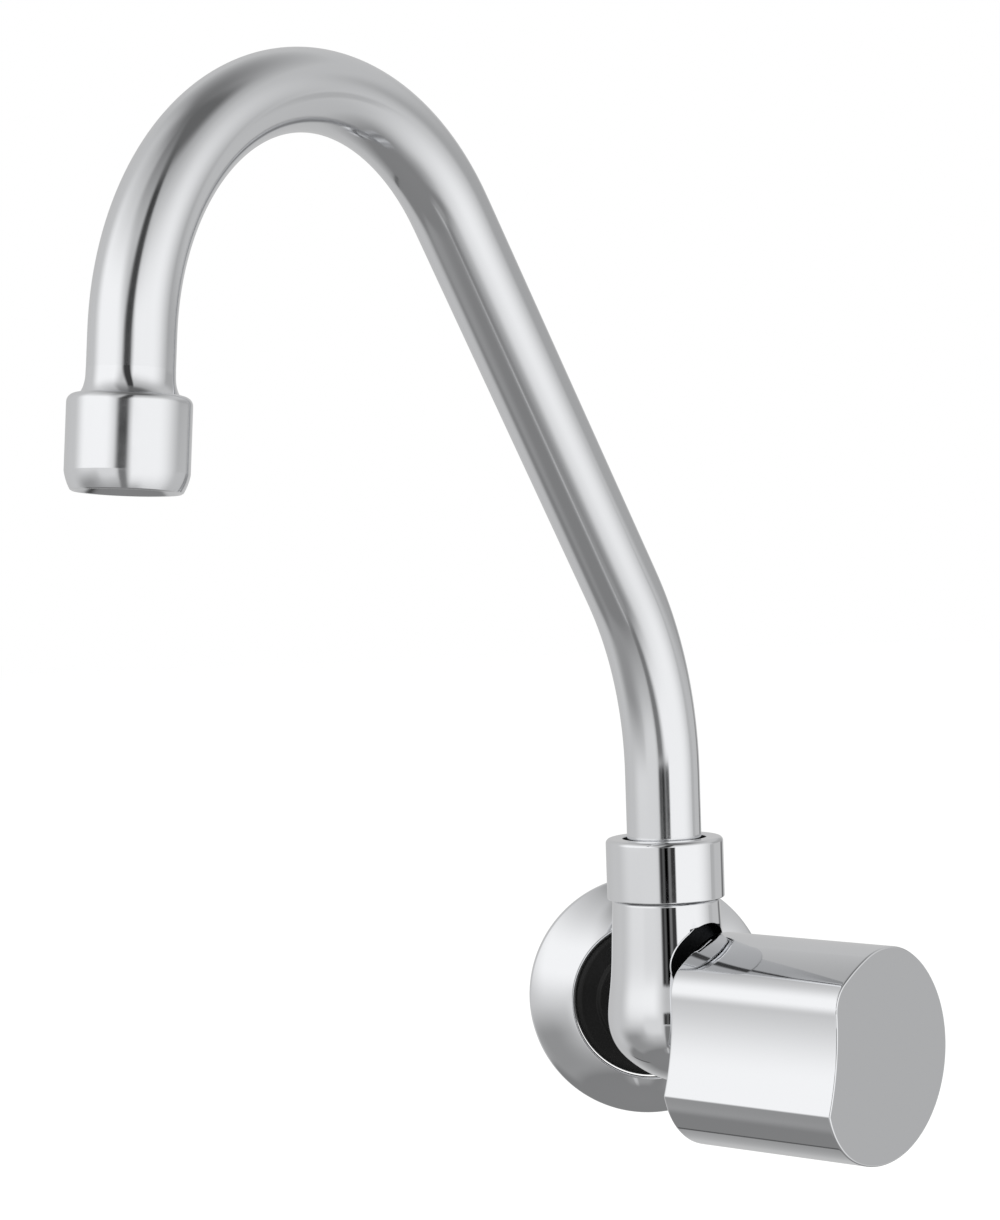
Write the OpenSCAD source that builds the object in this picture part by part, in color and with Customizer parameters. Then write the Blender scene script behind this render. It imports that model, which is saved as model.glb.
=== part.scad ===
// Wall faucet with a swinging gooseneck spout and a quarter-turn valve at the side.
// Frame: the origin is the centre of the flange's back face, on the inlet axis.
// The wall is the plane y = 0, the faucet stands out towards -y, and z points up.
// All sizes are in millimetres and degrees.

/* [Layout] */
// Distance from the wall to the upright axis of the body
wall_to_axis = 65; // [58:1:80]
// Height of the seam between body and swivel nut above the inlet axis
seam_height = 34.2; // [33:0.2:44]
// Angle of the valve, away from straight out of the wall
valve_angle = 45; // [35:1:60]
// Angle of the spout at rest, from straight out of the wall, to the left negative
spout_rest_angle = -40; // [-90:5:90]

/* [Wall flange] */
// Outside diameter of the flange
flange_d = 65; // [60:1:75]
// How far the flange stands out from the wall
flange_depth = 11; // [9:0.5:14]
// Diameter of the round hole in the flange
flange_hole_d = 42; // [38:1:46]
// Thickness of the flange's sheet
flange_sheet = 1.2; // [0.8:0.1:1.6]
// Radius of the flange's domed face, in section
flange_dome_r = 34; // [24:1:60]

/* [Grommet] */
// Diameter of the raised hub of the grommet
grommet_hub_d = 28.8; // [26:0.2:32]
// Height of the hub above the grommet's face
grommet_hub_rise = 1; // [0.5:0.1:2]
// Radius of the grommet's rounded shoulder
grommet_shoulder_r = 2.4; // [1:0.1:3]

/* [Inlet leg] */
// Diameter of the smooth part of the inlet leg
leg_d = 22; // [21.6:0.2:23]
// Outside diameter of the inlet thread, G 1/2
inlet_thread_d = 20.955; // [20:0.005:21]
// Length of the inlet thread behind the wall face
inlet_thread_length = 14; // [10:1:20]
// Bore of the inlet leg
inlet_bore_d = 11; // [9:0.5:12]

/* [Body] */
// Diameter of the barrel at the seam with the nut
barrel_top_d = 27.4; // [27:0.1:28.4]
// Draft of the barrel, which widens downwards
barrel_draft = 2.6; // [1.5:0.1:3]
// Height of the conical skirt between the barrel and its heel
skirt_h = 6; // [4:0.5:8]
// Diameter of the ball-shaped heel
heel_d = 31.8; // [31:0.1:34]
// Height of the heel's centre above the inlet axis
heel_height = 3.6; // [2:0.2:6]
// Diameter of the neck that carries the cartridge
neck_d = 24.6; // [24:0.2:26]
// Length of the neck from the upright axis
neck_length = 24; // [22:1:28]
// Clearance round the knob where it dips into the barrel
knob_relief_gap = 1.4; // [0.8:0.1:2.5]
// Distance from the upright axis to the flat floor of that relief
relief_floor = 9.6; // [9:0.1:10.5]

/* [Swivel] */
// Outside diameter of the swivel nut
nut_d = 29.9; // [29:0.1:32]
// Height of the swivel nut
nut_height = 15.7; // [15:0.1:19]
// Radius on the nut's top edge
nut_edge_r = 1.6; // [0.5:0.1:2]
// Gap between the tube and the hole in the nut's top
nut_hole_gap = 1.2; // [0.5:0.1:1.5]
// Diameter of the thread between body and nut
swivel_thread_d = 26; // [25.4:0.1:26.4]
// Diameter of the spout's socket in the body
socket_d = 21.2; // [20.6:0.1:22]
// Thickness of the ferrule's shoulder
shoulder_h = 2.2; // [1.6:0.1:3]
// Thickness of the glide ring under the nut's top
glide_h = 1.4; // [1:0.1:2]

/* [Spout] */
// Outside diameter of the spout tube
tube_d = 19; // [18:0.5:20]
// Wall of the spout tube
tube_wall = 1; // [0.8:0.1:1.5]
// Straight riser above the nut
riser_length = 16.5; // [10:0.5:60]
// Radius of the lower bend, at the tube's axis
lower_bend_r = 83; // [40:1:120]
// Lean of the long leg from upright
lean_angle = 35.2; // [20:0.2:45]
// Length of the straight long leg
leg_length = 112; // [80:0.5:150]
// Radius of the gooseneck bend, at the tube's axis
arch_r = 60.7; // [45:0.1:80]
// Outward tilt of the outlet from straight down
outlet_tilt = 6; // [0:1:15]
// Straight tube before the outlet adapter
drop_length = 8; // [4:0.5:40]

/* [Outlet] */
// Length of the flare between tube and aerator
flare_length = 5.4; // [3:0.1:7]
// How far the flare's lower edge stands out from the tube
flare_width = 1.2; // [0.8:0.05:1.4]
// Outside diameter of the aerator housing
aerator_d = 26.8; // [26.4:0.1:29]
// Length of the aerator housing
aerator_length = 20.6; // [19:0.1:26]
// Radius on the housing's upper edge
aerator_edge_r = 2; // [1:0.1:2.4]
// Height over which the housing rounds in at its lower end
aerator_foot_h = 3.6; // [2:0.1:5]
// How far it rounds in there
aerator_foot_inset = 1.3; // [0.8:0.1:2]
// Opening of the housing's lower rim
aerator_mouth_d = 18.8; // [17:0.2:19]
// Depth of the insert's vanes behind the rim
aerator_recess = 3; // [2:0.1:4]

/* [Knob] */
// Diameter of the knob
knob_d = 54; // [53:0.5:58]
// Length of the knob
knob_length = 51.6; // [48:0.2:58]
// Distance from the upright axis to the knob's back rim
knob_back = 15; // [14:0.5:18]
// Wall of the knob
knob_wall = 2.4; // [2:0.1:2.8]
// Depth of the finger scallop below the knob's circle
scallop_depth = 9; // [6:0.5:9]
// Radius of the scallop
scallop_r = 62; // [40:1:90]
// Direction of the scallop, seen from the front, counted from the right
scallop_angle = 173; // [160:1:185]
// Depth of the flattened shoulder beside the scallop
shoulder_depth = 4; // [2:0.5:4.5]
// Radius of that shoulder
shoulder_r = 53; // [45:1:70]
// Direction of that shoulder
shoulder_angle = 124; // [118:1:128]
// Radius where the shoulder turns into the scallop
shoulder_fillet_r = 4; // [2:0.5:5]
// Radius that eases the circle into the scallop's far edge
easing_r = 19; // [15:0.5:24]
// Direction where that easing starts
easing_angle = 250; // [244:1:256]

/* [Cartridge] */
// Distance from the upright axis to the cartridge's seat in the body
seat_at = 1; // [0.5:0.1:2]
// Diameter of the chamber round the cartridge
chamber_d = 19.2; // [18.8:0.1:19.4]
// Thread of the cartridge in the neck
cartridge_thread_d = 20.4; // [20:0.1:21]
// Width of the hexagon across its flats
hexagon_af = 19; // [18:0.5:20]
// Outside diameter of the disc sleeve
sleeve_d = 16.8; // [16.4:0.1:17.4]
// Diameter of the ceramic discs
disc_d = 14.4; // [13.8:0.1:14.6]
// Thickness of each ceramic disc
disc_h = 2.2; // [1.8:0.1:2.6]
// Thickness of the rubber seat seal
seal_h = 2; // [1.5:0.1:2.5]
// Diameter of the spindle
spindle_d = 9; // [8.4:0.1:9.2]
// Turn of the valve from closed to open
valve_turn = 90; // [80:5:90]
// Outside diameter of the spline
spline_d = 8; // [7:0.1:8]
// Number of spline teeth
spline_teeth = 20; // [16:2:24]
// Length of the spline
spline_length = 9; // [8:0.5:11]

/* [Fits] */
// Radial clearance of a running fit
fit = 0.06; // [0.03:0.01:0.1]
// Clearance between faces that pass each other
gap = 0.3; // [0.2:0.05:0.5]
// Clearance between pieces that are fixed together
seat_gap = 0.02; // [0.01:0.01:0.04]

/* [Hidden] */
$fn = 96;
eps = 0.01;

chrome = [0.86, 0.87, 0.88];
brass = [0.80, 0.66, 0.36];
rubber = [0.06, 0.06, 0.06];
ceramic = [0.94, 0.93, 0.90];
steel = [0.70, 0.71, 0.72];
acetal = [0.20, 0.20, 0.22];
cage_white = [0.88, 0.88, 0.86];

// ---- placing -------------------------------------------------------------------------------

// Local z runs out of the wall along the inlet axis, from the wall face
module on_inlet_axis() { rotate([90, 0, 0]) children(); }

// Local z runs along the valve's axis, from the upright axis towards the knob
module on_valve_axis() {
    translate([0, -wall_to_axis, 0]) rotate([0, 0, valve_angle]) rotate([90, 0, 0]) children();
}

// The body's upright axis, with z = 0 at the height of the inlet
module on_body_axis() { translate([0, -wall_to_axis, 0]) children(); }

// The spout's plane: x runs outwards from the upright axis, z upwards from the nut's top
module on_spout() {
    translate([0, -wall_to_axis, nut_top]) rotate([0, 0, spout_rest_angle - 90]) children();
}

// The outlet: z runs up the aerator's axis, from the housing's top face
module on_outlet() {
    on_spout() translate([outlet_x, 0, outlet_z]) rotate([0, -outlet_tilt, 0]) children();
}

module ring(outer, inner, h) {
    difference() {
        cylinder(r = outer, h = h);
        translate([0, 0, -eps]) cylinder(r = inner, h = h + 2 * eps);
    }
}

module o_ring(inner, section_d) {
    rotate_extrude() translate([inner + section_d / 2, 0]) circle(d = section_d, $fn = 32);
}

// ---- wall flange and grommet ---------------------------------------------------------------

flange_rim_h = 1.4;
flange_lip_r = 0.7;
flange_top_r = flange_hole_d / 2 + flange_lip_r;
flange_run = flange_d / 2 - flange_top_r;
flange_rise = flange_depth - flange_rim_h;
flange_chord = sqrt(flange_run * flange_run + flange_rise * flange_rise);
flange_chord_angle = atan2(flange_rise, flange_run);
flange_sagitta = sqrt(flange_dome_r * flange_dome_r - flange_chord * flange_chord / 4);
flange_arc_x = (flange_top_r + flange_d / 2) / 2 - flange_sagitta * sin(flange_chord_angle);
flange_arc_z = flange_rim_h + flange_rise / 2 - flange_sagitta * cos(flange_chord_angle);

// Section of the domed sheet, between its outer arc and the same arc one sheet further in
module flange_section() {
    intersection() {
        translate([flange_top_r, 0]) square([flange_run, flange_depth]);
        difference() {
            translate([flange_arc_x, flange_arc_z]) circle(r = flange_dome_r, $fn = 180);
            translate([flange_arc_x, flange_arc_z]) circle(r = flange_dome_r - flange_sheet, $fn = 180);
        }
    }
    translate([flange_d / 2 - flange_sheet, 0]) square([flange_sheet, flange_rim_h + eps]);
    translate([flange_top_r, flange_depth - flange_lip_r]) circle(r = flange_lip_r, $fn = 32);
}

module wall_flange() {
    color(chrome) on_inlet_axis() rotate_extrude() flange_section();
}

grommet_r = flange_hole_d / 2 - gap / 2;
grommet_proud = 0.4;
grommet_back = 2;
grommet_face = flange_depth + grommet_proud - grommet_back;
grommet_flat_r = grommet_r - grommet_shoulder_r;

// Rubber disc with a rounded shoulder in the flange's hole and a raised hub round the leg
module flange_grommet() {
    color(rubber) on_inlet_axis() translate([0, 0, grommet_back]) difference() {
        rotate_extrude() {
            square([grommet_r, grommet_face - grommet_shoulder_r]);
            square([grommet_flat_r, grommet_face]);
            translate([grommet_flat_r, grommet_face - grommet_shoulder_r])
                circle(r = grommet_shoulder_r, $fn = 48);
            square([grommet_hub_d / 2, grommet_face + grommet_hub_rise]);
        }
        translate([0, 0, -eps]) cylinder(r = leg_d / 2 + seat_gap, h = 2 * flange_depth);
    }
}

// ---- body ----------------------------------------------------------------------------------

nut_lid = 2;
nut_top = seam_height + nut_height;
spigot_top = nut_top - nut_lid - glide_h - shoulder_h - 2 * gap;
socket_depth = 13;
port_r = 4;
port_wall = 2;
port_at = relief_floor - port_wall - port_r;
seat_bore_r = inlet_bore_d / 2;
seat_bore_back = 8;
bore_end = 6;
thread_start = 17;
thread_relief = 2;
thread_chamfer = 1;
neck_root_h = 5;
neck_root_inset = 2.3;

// Barrel: the ball of the heel, a conical skirt on it, and the drafted side up to the seam
heel_r = heel_d / 2;
skirt_at = heel_height + heel_r / 4;
skirt_low_r = sqrt(heel_r * heel_r - pow(skirt_at - heel_height, 2));
skirt_top = skirt_at + skirt_h;
skirt_top_r = barrel_top_d / 2 + (seam_height - skirt_top) * tan(barrel_draft);

module barrel() {
    on_body_axis() {
        translate([0, 0, heel_height]) sphere(r = heel_r);
        translate([0, 0, skirt_at]) cylinder(r1 = skirt_low_r, r2 = skirt_top_r, h = skirt_h);
        translate([0, 0, skirt_top - eps])
            cylinder(r1 = skirt_top_r, r2 = barrel_top_d / 2, h = seam_height - skirt_top + eps);
    }
}

module swivel_spigot() {
    on_body_axis() translate([0, 0, seam_height - eps])
        cylinder(r = swivel_thread_d / 2, h = spigot_top - seam_height + eps);
}

module neck() {
    on_valve_axis() {
        translate([0, 0, seat_at - 2])
            cylinder(r1 = neck_d / 2 - neck_root_inset, r2 = neck_d / 2, h = neck_root_h);
        translate([0, 0, seat_at - 2 + neck_root_h - eps])
            cylinder(r = neck_d / 2, h = neck_length - seat_at + 2 - neck_root_h + eps);
    }
}

module inlet_leg() {
    on_inlet_axis() {
        translate([0, 0, thread_relief]) cylinder(r = leg_d / 2, h = wall_to_axis - thread_relief);
        cylinder(r = inlet_thread_d / 2 - 1, h = thread_relief + eps);
        translate([0, 0, -inlet_thread_length]) cylinder(r = inlet_thread_d / 2, h = inlet_thread_length);
        translate([0, 0, -inlet_thread_length - thread_chamfer])
            cylinder(r1 = inlet_thread_d / 2 - thread_chamfer, r2 = inlet_thread_d / 2, h = thread_chamfer);
    }
}

// Water way: inlet bore, seat bore, cartridge chamber, port to the socket, socket of the spout
module water_way() {
    on_inlet_axis() translate([0, 0, -2 * inlet_thread_length])
        cylinder(r = inlet_bore_d / 2, h = wall_to_axis - bore_end + 2 * inlet_thread_length);
    on_inlet_axis() translate([0, 0, -inlet_thread_length - thread_chamfer - eps])
        cylinder(r = strainer_d / 2 + seat_gap, h = strainer_h + strainer_inset);
    on_valve_axis() {
        translate([0, 0, -seat_bore_back]) cylinder(r = seat_bore_r, h = seat_bore_back + seat_at + eps);
        translate([0, 0, seat_at]) cylinder(r = chamber_d / 2, h = neck_length);
        translate([0, 0, thread_start])
            cylinder(r = cartridge_thread_d / 2 + seat_gap, h = neck_length);
    }
    port_bottom = seat_bore_r + 1.5;
    on_body_axis() rotate([0, 0, valve_angle]) translate([0, -port_at, port_bottom])
        cylinder(r = port_r, h = spigot_top - socket_depth - port_bottom + eps, $fn = 48);
    on_body_axis() translate([0, 0, spigot_top - socket_depth])
        cylinder(r = socket_d / 2, h = socket_depth + eps);
}

// The barrel is faced flat round the neck, so that the knob clears it
module knob_relief() {
    on_valve_axis() translate([0, 0, relief_floor])
        cylinder(r = knob_d / 2 + knob_relief_gap, h = knob_length);
}

module faucet_body() {
    color(chrome) difference() {
        union() {
            difference() { barrel(); knob_relief(); }
            neck();
            inlet_leg();
            swivel_spigot();
        }
        water_way();
    }
}

// ---- inlet strainer ------------------------------------------------------------------------

strainer_d = 15;
strainer_h = 4;
strainer_inset = 1;

// A shallow cup of moulded plastic with a grid of slots in its floor
module inlet_strainer() {
    slot_w = 1.2;
    slot_pitch = 2.2;
    color(acetal) on_inlet_axis()
        translate([0, 0, -inlet_thread_length - thread_chamfer + strainer_inset]) difference() {
            cylinder(r = strainer_d / 2, h = strainer_h - 2 * seat_gap);
            translate([0, 0, -eps]) cylinder(r = inlet_bore_d / 2, h = strainer_h - 1);
            for (i = [-2 : 2]) translate([i * slot_pitch - slot_w / 2, -3.4, 0])
                cube([slot_w, 6.8, strainer_h]);
        }
}

// ---- swivel: nut, glide ring, ferrule ------------------------------------------------------

// Plain round collar: thread below, a lid with the tube's hole on top
module swivel_nut() {
    r = nut_d / 2;
    color(chrome) on_body_axis() translate([0, 0, seam_height + seat_gap]) difference() {
        rotate_extrude() {
            square([r, nut_height - nut_edge_r]);
            square([r - nut_edge_r, nut_height]);
            translate([r - nut_edge_r, nut_height - nut_edge_r]) circle(r = nut_edge_r, $fn = 48);
        }
        translate([0, 0, -eps]) cylinder(r = swivel_thread_d / 2 + seat_gap, h = nut_height - nut_lid + eps);
        cylinder(r = tube_r + nut_hole_gap, h = 2 * nut_height);
    }
}

module glide_ring() {
    color(acetal) on_body_axis() translate([0, 0, nut_top - nut_lid - glide_h])
        ring(swivel_thread_d / 2 - seat_gap, tube_d / 2 + gap, glide_h - seat_gap);
}

ferrule_r = socket_d / 2 - fit;
ferrule_length = socket_depth - 1;
ferrule_bore_r = 6.5;
groove_w = 2.6;
groove_depth = 1.6;
groove_steps = [3, 7.4];
shoulder_r_fit = swivel_thread_d / 2 - 0.6;
plug_length = 10;
shoulder_bottom = spigot_top + gap - nut_top;

// Turned end of the spout: grooves for two O-rings, the shoulder that the nut holds, and a plug
// that the tube is brazed on
module spout_ferrule() {
    color(brass) on_spout() difference() {
        union() {
            translate([0, 0, shoulder_bottom - ferrule_length]) cylinder(r = ferrule_r, h = ferrule_length + eps);
            translate([0, 0, shoulder_bottom]) cylinder(r = shoulder_r_fit, h = shoulder_h);
            translate([0, 0, shoulder_bottom + shoulder_h - eps])
                cylinder(r = tube_d / 2 - tube_wall - seat_gap, h = plug_length);
        }
        translate([0, 0, shoulder_bottom - ferrule_length - eps])
            cylinder(r = ferrule_bore_r, h = ferrule_length + shoulder_h + plug_length + 1);
        for (z = groove_steps) translate([0, 0, shoulder_bottom - z - groove_w])
            ring(socket_d, ferrule_r - groove_depth, groove_w);
    }
}

module spout_orings() {
    section = groove_depth + fit / 2;
    color(rubber) on_spout() for (z = groove_steps)
        translate([0, 0, shoulder_bottom - z - groove_w / 2]) o_ring(ferrule_r - groove_depth + eps, section);
}

// ---- spout tube ----------------------------------------------------------------------------

tube_r = tube_d / 2;
tube_start = shoulder_bottom + shoulder_h + seat_gap;
bend1_x = lower_bend_r * (1 - cos(lean_angle));
bend1_z = riser_length + lower_bend_r * sin(lean_angle);
leg_end_x = bend1_x + leg_length * sin(lean_angle);
leg_end_z = bend1_z + leg_length * cos(lean_angle);
arch_x = leg_end_x + arch_r * cos(lean_angle);
arch_z = leg_end_z - arch_r * sin(lean_angle);
arch_turn = 180 - lean_angle - outlet_tilt;
drop_x = arch_x + arch_r * cos(outlet_tilt);
drop_z = arch_z + arch_r * sin(outlet_tilt);
tube_drop = drop_length + flare_length;
outlet_x = drop_x + tube_drop * sin(outlet_tilt);
outlet_z = drop_z - tube_drop * cos(outlet_tilt);

// The wall of the tube is a touch thinner in the bends than in the straight runs, which lap into them
bend_thinning = 0.02;
bend_lap = 0.5;

// A straight run of the tube, up z
module tube_run(from, to) { translate([0, 0, from]) ring(tube_r, tube_r - tube_wall, to - from); }

// A bend of the tube in the x-z plane round the point c, from one polar angle to another
module tube_bend(c, bend_r, from, to) {
    translate([c[0], 0, c[1]]) rotate([90, 0, 0]) rotate([0, 0, from])
        rotate_extrude(angle = to - from) translate([bend_r, 0]) difference() {
            circle(r = tube_r - bend_thinning);
            circle(r = tube_r - tube_wall + bend_thinning);
        }
}

module spout_tube() {
    color(chrome) on_spout() {
        tube_run(tube_start, riser_length + bend_lap);
        tube_bend([lower_bend_r, riser_length], lower_bend_r, 180 - lean_angle, 180);
        translate([bend1_x, 0, bend1_z]) rotate([0, lean_angle, 0]) tube_run(-bend_lap, leg_length + bend_lap);
        tube_bend([arch_x, arch_z], arch_r, outlet_tilt, 180 - lean_angle);
        translate([drop_x, 0, drop_z]) rotate([0, -outlet_tilt, 0]) tube_run(-tube_drop, bend_lap);
    }
}

// ---- outlet --------------------------------------------------------------------------------

flare_edge = 0.15;
flare_grow = flare_width - flare_edge;
flare_arc_r = (flare_length * flare_length + flare_grow * flare_grow) / (2 * flare_grow);
adapter_thread_r = tube_r + flare_width - gap;
adapter_thread_length = 8;
water_r = tube_r - tube_wall;

// Turned collar brazed on the tube's end: a smooth flare above, the aerator's thread below
module outlet_adapter() {
    color(chrome) on_outlet() difference() {
        rotate_extrude() {
            difference() {
                square([tube_r + flare_width, flare_length]);
                translate([tube_r + flare_edge + flare_arc_r, flare_length]) circle(r = flare_arc_r, $fn = 180);
            }
            translate([0, -adapter_thread_length]) square([adapter_thread_r, adapter_thread_length + eps]);
        }
        cylinder(r = tube_r + seat_gap, h = 2 * flare_length);
        translate([0, 0, -adapter_thread_length - eps]) cylinder(r = water_r, h = 2 * adapter_thread_length);
    }
}

housing_r = aerator_d / 2;
housing_bore_r = adapter_thread_r + seat_gap;
foot_arc_r = (pow(aerator_foot_h, 2) + pow(aerator_foot_inset, 2)) / (2 * aerator_foot_inset);
mouth_h = 1.6;
washer_h = 1.4;

// Housing: rounded upper edge, straight side for a hose end, lower end rounded in to the mouth
module aerator_housing() {
    side_top = aerator_length - aerator_edge_r - seat_gap;
    color(chrome) on_outlet() translate([0, 0, -aerator_length]) difference() {
        rotate_extrude() {
            intersection() {
                translate([housing_r - foot_arc_r, aerator_foot_h]) circle(r = foot_arc_r, $fn = 180);
                square([housing_r, aerator_foot_h]);
            }
            square([housing_r - foot_arc_r, aerator_foot_h]);
            translate([0, aerator_foot_h]) square([housing_r, side_top - aerator_foot_h]);
            square([housing_r - aerator_edge_r, side_top + aerator_edge_r]);
            translate([housing_r - aerator_edge_r, side_top]) circle(r = aerator_edge_r, $fn = 48);
        }
        translate([0, 0, -eps]) cylinder(r = aerator_mouth_d / 2, h = aerator_length);
        translate([0, 0, mouth_h]) cylinder(r = housing_bore_r, h = aerator_length);
    }
}

insert_r = housing_bore_r - 0.1;
insert_top = -adapter_thread_length - washer_h - seat_gap;
insert_bottom = -aerator_length + mouth_h + seat_gap;
cage_wall = 1.4;
vane_count = 12;
vane_w = 0.8;
vane_h = 4;
vane_hub_r = 2.4;

module aerator_washer() {
    color(rubber) on_outlet() translate([0, 0, -adapter_thread_length - washer_h])
        ring(insert_r, water_r, washer_h - seat_gap);
}

// Moulded cage: an outer ring, a hub and radial vanes, open for the water
module aerator_insert() {
    color(cage_white) on_outlet() {
        translate([0, 0, insert_bottom]) ring(insert_r, insert_r - cage_wall, insert_top - insert_bottom);
        translate([0, 0, aerator_recess - aerator_length]) {
            cylinder(r = vane_hub_r, h = vane_h);
            for (i = [0 : vane_count - 1]) rotate([0, 0, i * 360 / vane_count])
                translate([vane_hub_r - 0.3, -vane_w / 2, 0])
                    cube([insert_r - cage_wall - vane_hub_r + 0.6, vane_w, vane_h]);
        }
    }
}

gauze_h = 0.5;
gauze_count = 2;
gauze_step = 1.4;
wire_w = 0.5;
wire_pitch = 2.6;

// Gauzes stacked in the cage: a rim and two crossed rows of wires
module aerator_screens() {
    gauze_r = insert_r - cage_wall - seat_gap;
    wires = floor(gauze_r / wire_pitch);
    color(steel) on_outlet() for (i = [1 : gauze_count]) translate([0, 0, insert_top - i * gauze_step]) {
        ring(gauze_r, gauze_r - wire_w * 2, gauze_h);
        for (turn = [0, 90], k = [-wires : wires]) rotate([0, 0, turn])
            translate([k * wire_pitch - wire_w / 2, -sqrt(pow(gauze_r - wire_w, 2) - pow(k * wire_pitch, 2)), 0])
                cube([wire_w, 2 * sqrt(pow(gauze_r - wire_w, 2) - pow(k * wire_pitch, 2)), gauze_h]);
    }
}

// ---- cartridge -----------------------------------------------------------------------------

disc_r = disc_d / 2;
sleeve_bore_r = disc_r + 0.1;
fixed_at = seat_at + seal_h;
moving_at = fixed_at + disc_h + 0.04;
tang_at = moving_at + disc_h - 1.1;
rod_at = moving_at + disc_h + 0.6;
lug_at = rod_at + 1.4;
lug_h = 1.8;
housing_at = lug_at + lug_h + gap;
dog_h = lug_h + gap / 2;
lug_angle = 50;
stop_spare = 2;
hexagon_h = 5.5;
bonnet_r = 7.4;
bonnet_h = 6;
bonnet_top = neck_length + 0.2 + hexagon_h + bonnet_h;
spindle_r = spindle_d / 2;
spline_at = bonnet_top + 2.8;

// A part of a ring, from one angle to another
module ring_sector(outer, inner, h, from, to) {
    rotate([0, 0, from]) rotate_extrude(angle = to - from)
        translate([inner, 0]) square([outer - inner, h]);
}

module seat_seal() {
    color(rubber) on_valve_axis() translate([0, 0, seat_at])
        ring(sleeve_bore_r - seat_gap, seat_bore_r, seal_h - seat_gap);
}

// Two opposite quarter openings in each disc: they face each other when the valve is open
module ceramic_disc(turned) {
    difference() {
        cylinder(r = disc_r, h = disc_h);
        for (a = [0, 180]) translate([0, 0, -eps])
            ring_sector(disc_r - 1.6, 1.6, disc_h + 2 * eps, turned + a - 38, turned + a + 38);
    }
}

module fixed_disc() {
    color(ceramic) on_valve_axis() translate([0, 0, fixed_at]) ceramic_disc(0);
}

module moving_disc() {
    color(ceramic) on_valve_axis() difference() {
        translate([0, 0, moving_at]) ceramic_disc(90);
        translate([-disc_r, -tang_w / 2 - seat_gap, tang_at - seat_gap]) cube([disc_d, tang_w + 2 * seat_gap, disc_h]);
    }
}

tang_w = 3.4;

// Sleeve that holds seal and discs, with two side windows for the water
module disc_sleeve() {
    sleeve_at = seat_at + 0.3;
    window_h = 3.2;
    color(steel) on_valve_axis() difference() {
        translate([0, 0, sleeve_at]) ring(sleeve_d / 2, sleeve_bore_r, housing_at + spigot_h - sleeve_at);
        for (a = [0, 180]) rotate([0, 0, a + 45]) translate([0, -3.5, rod_at - 0.4]) cube([sleeve_d, 7, window_h]);
    }
}

spigot_h = 2.6;
flange_r = chamber_d / 2 - 0.1;
body_groove_at = housing_at + spigot_h + 0.6;
body_groove_w = 1.8;
body_groove_depth = 1.5;

// Brass headwork: spigot for the sleeve, O-ring groove, thread, hexagon and bonnet
module cartridge_housing() {
    dog_from = lug_angle / 2 + valve_turn + stop_spare;
    dog_to = 360 - lug_angle / 2 - stop_spare;
    color(brass) on_valve_axis() {
        difference() {
            union() {
                translate([0, 0, housing_at]) cylinder(r = sleeve_bore_r - seat_gap, h = spigot_h + 2 * seat_gap);
                translate([0, 0, housing_at + spigot_h + seat_gap])
                    cylinder(r = flange_r, h = thread_start - housing_at - spigot_h);
                translate([0, 0, thread_start + seat_gap])
                    cylinder(r = cartridge_thread_d / 2, h = neck_length - thread_start + 0.2);
                translate([0, 0, neck_length + 0.2]) cylinder(r = hexagon_af / 2 / cos(30), h = hexagon_h, $fn = 6);
                translate([0, 0, neck_length + 0.2 + hexagon_h - eps]) cylinder(r = bonnet_r, h = bonnet_h + eps);
            }
            translate([0, 0, housing_at - eps]) cylinder(r = spindle_r + fit, h = bonnet_top);
            translate([0, 0, body_groove_at]) ring(chamber_d, flange_r - body_groove_depth, body_groove_w);
        }
        translate([0, 0, housing_at - dog_h])
            ring_sector(disc_r - 0.2, spindle_r + 0.6, dog_h + 0.5, dog_from, dog_to);
    }
}

module cartridge_oring() {
    color(rubber) on_valve_axis() translate([0, 0, body_groove_at + body_groove_w / 2])
        o_ring(flange_r - body_groove_depth + eps, body_groove_depth + 0.05);
}

// Spindle: tang in the moving disc, stop lug, two O-ring grooves, clip groove and spline
spindle_groove_steps = [3, 7];
spindle_groove_w = 1.8;
spindle_groove_depth = 1.3;
washer_thickness = 0.6;
clip_at = bonnet_top + gap + washer_thickness + seat_gap;
clip_h = 0.8;

function spline_points(r, teeth, depth) =
    [for (i = [0 : 2 * teeth - 1]) let (a = i * 180 / teeth, q = i % 2 == 0 ? r : r - depth)
        [q * cos(a), q * sin(a)]];

module cartridge_spindle() {
    color(brass) on_valve_axis() {
        translate([-disc_r + 1.2, -tang_w / 2, tang_at]) cube([disc_d - 2.4, tang_w, rod_at - tang_at + eps]);
        translate([0, 0, lug_at]) ring_sector(disc_r - 0.2, spindle_r - 0.5, lug_h, -lug_angle / 2, lug_angle / 2);
        difference() {
            translate([0, 0, rod_at]) cylinder(r = spindle_r, h = spline_at - rod_at);
            for (s = spindle_groove_steps) translate([0, 0, housing_at + s])
                ring(spindle_d, spindle_r - spindle_groove_depth, spindle_groove_w);
            translate([0, 0, clip_at - seat_gap]) ring(spindle_d, spindle_r - 0.7, clip_h + 2 * seat_gap);
        }
        translate([0, 0, spline_at - eps]) linear_extrude(spline_length + eps)
            polygon(spline_points(spline_d / 2, spline_teeth, 0.5));
    }
}

module spindle_orings() {
    color(rubber) on_valve_axis() for (s = spindle_groove_steps)
        translate([0, 0, housing_at + s + spindle_groove_w / 2])
            o_ring(spindle_r - spindle_groove_depth + eps, spindle_groove_depth + fit / 2);
}

module thrust_washer() {
    color(steel) on_valve_axis() translate([0, 0, bonnet_top + gap])
        ring(bonnet_r - 0.4, spindle_r + seat_gap, washer_thickness);
}

module spindle_clip() {
    color(steel) on_valve_axis() translate([0, 0, clip_at])
        ring_sector(spindle_r + 1.6, spindle_r - 0.68, clip_h, 110, 430);
}

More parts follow.
